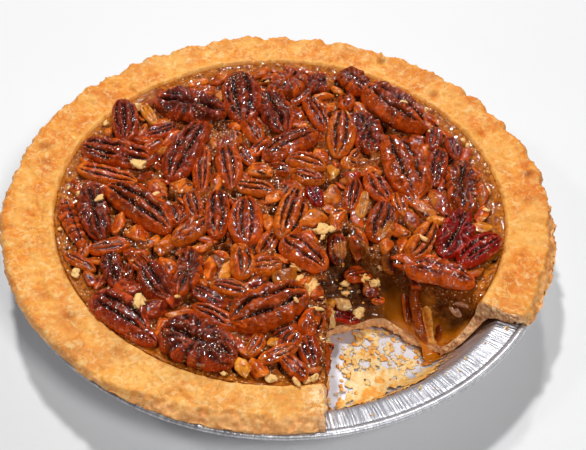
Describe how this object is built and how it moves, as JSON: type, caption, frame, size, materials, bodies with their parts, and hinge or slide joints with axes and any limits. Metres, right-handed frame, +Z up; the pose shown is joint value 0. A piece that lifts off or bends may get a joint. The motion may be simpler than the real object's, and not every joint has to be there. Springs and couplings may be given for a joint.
{
  "type": "pecan pie",
  "caption": "Round pecan pie in a pleated foil pan with one slice taken out: fluted pastry crust, caramel filling and glazed pecan halves on top.",
  "frame": {"origin": "centre of the pan's flat underside, on the surface it stands on", "axes": "+Z up; the missing slice faces -Y and a little to +X"},
  "size_m": [0.2252, 0.2224, 0.0395],
  "materials": {
    "foil": "bright crinkled foil",
    "pastry": "baked shortcrust, golden with browner patches",
    "caramel": "glossy caramel, bubbly on top",
    "nut_plum": "glazed dark pecan skin",
    "nut_dark": "glazed brown pecan skin",
    "nut_red": "glazed red-brown pecan skin",
    "nut_ruby": "glazed deep red pecan skin",
    "nut_amber": "glazed orange-brown pecan skin"
  },
  "bodies": {
    "root": {"pan": "foil", "crust": "pastry", "filling": "caramel", "pecan_01": "nut_red", "pecan_02": "nut_dark", "pecan_03": "nut_red", "pecan_04": "nut_plum", "pecan_05": "nut_ruby", "pecan_06": "nut_ruby", "pecan_07": "nut_plum", "pecan_08": "nut_plum", "pecan_09": "nut_dark", "pecan_10": "nut_plum", "pecan_11": "nut_dark", "pecan_12": "nut_plum", "pecan_13": "nut_plum", "pecan_14": "nut_red", "pecan_15": "nut_plum", "pecan_16": "nut_plum", "pecan_17": "nut_dark", "pecan_18": "nut_amber", "pecan_19": "nut_plum", "pecan_20": "nut_dark", "pecan_21": "nut_red", "pecan_22": "nut_red", "pecan_23": "nut_amber", "pecan_24": "nut_red", "pecan_25": "nut_dark", "pecan_26": "nut_red", "pecan_27": "nut_red", "pecan_28": "nut_dark", "pecan_29": "nut_amber", "pecan_30": "nut_amber", "pecan_31": "nut_dark", "pecan_32": "nut_red", "pecan_33": "nut_amber", "pecan_34": "nut_dark", "pecan_35": "nut_amber", "pecan_36": "nut_plum", "pecan_37": "nut_amber", "pecan_38": "nut_dark", "pecan_39": "nut_red", "pecan_40": "nut_dark", "pecan_41": "nut_plum", "pecan_42": "nut_amber", "pecan_43": "nut_red", "pecan_44": "nut_amber", "pecan_45": "nut_plum", "pecan_46": "nut_plum", "pecan_47": "nut_amber", "pecan_48": "nut_plum", "pecan_49": "nut_plum", "pecan_50": "nut_amber", "pecan_51": "nut_red", "pecan_52": "nut_plum", "pecan_53": "nut_red", "pecan_54": "nut_plum", "pecan_55": "nut_amber", "pecan_56": "nut_amber"}
  },
  "joints": []
}
